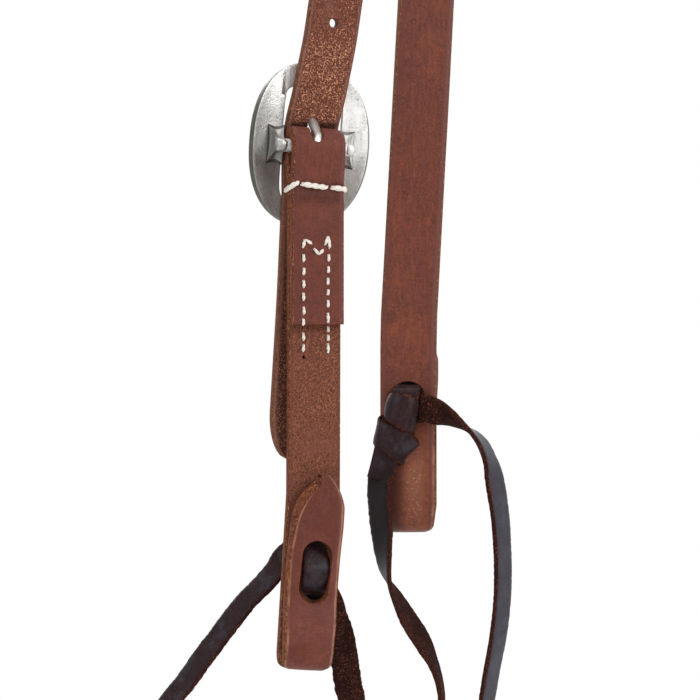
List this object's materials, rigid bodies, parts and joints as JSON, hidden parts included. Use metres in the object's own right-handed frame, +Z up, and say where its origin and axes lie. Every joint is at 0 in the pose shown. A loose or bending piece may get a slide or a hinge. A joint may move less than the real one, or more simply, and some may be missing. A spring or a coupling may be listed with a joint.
{
  "type": "western headstall",
  "caption": "Sliding-ear western headstall: one leather strap over the poll, a near cheek piece on a cart buckle, and bit ends folded and tied with flat leather laces.",
  "frame": {"origin": "middle of the underside of the crown, where the strap rests on the horse's poll", "axes": "+X to the horse's nose, +Y to its near (left) side, +Z up; the headstall hangs as it does from a hook"},
  "size_m": [0.1362, 0.1375, 0.6258],
  "materials": {
    "strap_leather": "oiled chestnut grain side, rough flesh side, rounded edges",
    "lace_leather": "dark brown lace leather, smooth one side and fuzzy the other",
    "buckle_steel": "cast, with a satin grained surface",
    "waxed_thread": "waxed"
  },
  "bodies": {
    "strap": {"crown_strap": "strap_leather", "buckle_frame": "buckle_steel", "buckle_bar": "buckle_steel", "off_tie_knot": "lace_leather", "off_left_tail": "lace_leather", "off_right_tail": "lace_leather"},
    "tongue": {"buckle_tongue": "buckle_steel"},
    "cheek": {"near_cheek_piece": "strap_leather", "cross_stitch": "waxed_thread", "turn_back_stitching": "waxed_thread", "near_tie_knot": "lace_leather", "near_fore_tail": "lace_leather", "near_rear_tail": "lace_leather"},
    "ear": {"ear_loop": "strap_leather", "ear_upper_stitching": "waxed_thread", "ear_lower_stitching": "waxed_thread"}
  },
  "joints": [
    {"name": "tongue_swing", "type": "hinge", "parent": "strap", "child": "tongue", "pos_m": [-0.0202, 0.05, -0.37], "axis": [-0.9972, 0, 0.075], "range_deg": [0, 15]},
    {"name": "cheek_swing", "type": "hinge", "parent": "strap", "child": "cheek", "pos_m": [-0.0202, 0.05, -0.37], "axis": [-0.9972, 0, 0.075], "range_deg": [0, 25]},
    {"name": "ear_slide", "type": "slide", "parent": "strap", "child": "ear", "axis": [0.0565, 0, 0.9984], "range_m": [-0.015, 0.015]}
  ]
}
